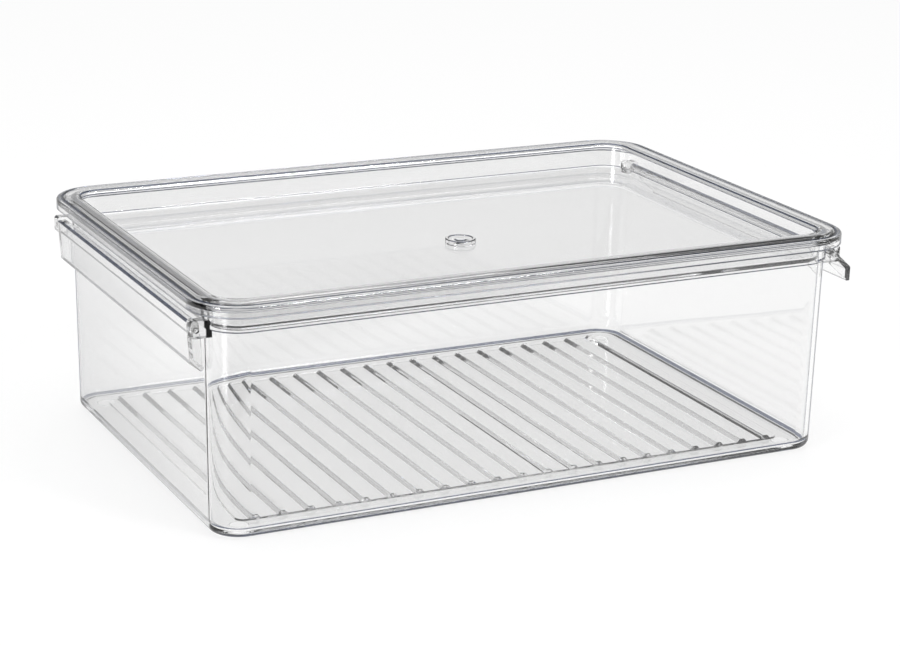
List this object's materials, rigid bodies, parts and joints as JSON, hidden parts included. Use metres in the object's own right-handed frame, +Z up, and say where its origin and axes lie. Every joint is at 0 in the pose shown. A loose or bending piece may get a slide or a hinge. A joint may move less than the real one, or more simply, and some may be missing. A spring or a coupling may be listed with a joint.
{
  "type": "fridge storage box with lid",
  "caption": "Clear plastic storage box with a ribbed floor, a lift-off lid with a recessed panel, and folding grip handles hinged at its ends.",
  "frame": {"origin": "centre of the base, on the plane that the feet stand on; the floor's underside lies one foot height above it", "axes": "+X along the length towards the opened handle, +Y along the depth towards the back, +Z up"},
  "size_m": [0.3104, 0.205, 0.1],
  "materials": {
    "tub_plastic": "clear, polished",
    "lid_plastic": "clear, polished",
    "handle_plastic": "clear, polished"
  },
  "bodies": {
    "tub": {"tub": "tub_plastic"},
    "lid": {"lid": "lid_plastic"},
    "left_handle": {"left_handle": "handle_plastic"},
    "right_handle": {"right_handle": "handle_plastic"}
  },
  "joints": [
    {"name": "lid_lift", "type": "slide", "parent": "tub", "child": "lid", "axis": [0, 0, 1], "range_m": [0, 0.05]},
    {"name": "left_handle_swing", "type": "hinge", "parent": "tub", "child": "left_handle", "pos_m": [-0.1478, 0, 0.0869], "axis": [0, 1, 0], "range_deg": [0, 72]},
    {"name": "right_handle_swing", "type": "hinge", "parent": "tub", "child": "right_handle", "pos_m": [0.1478, 0, 0.0869], "axis": [0, -1, 0], "range_deg": [-52, 20]}
  ]
}
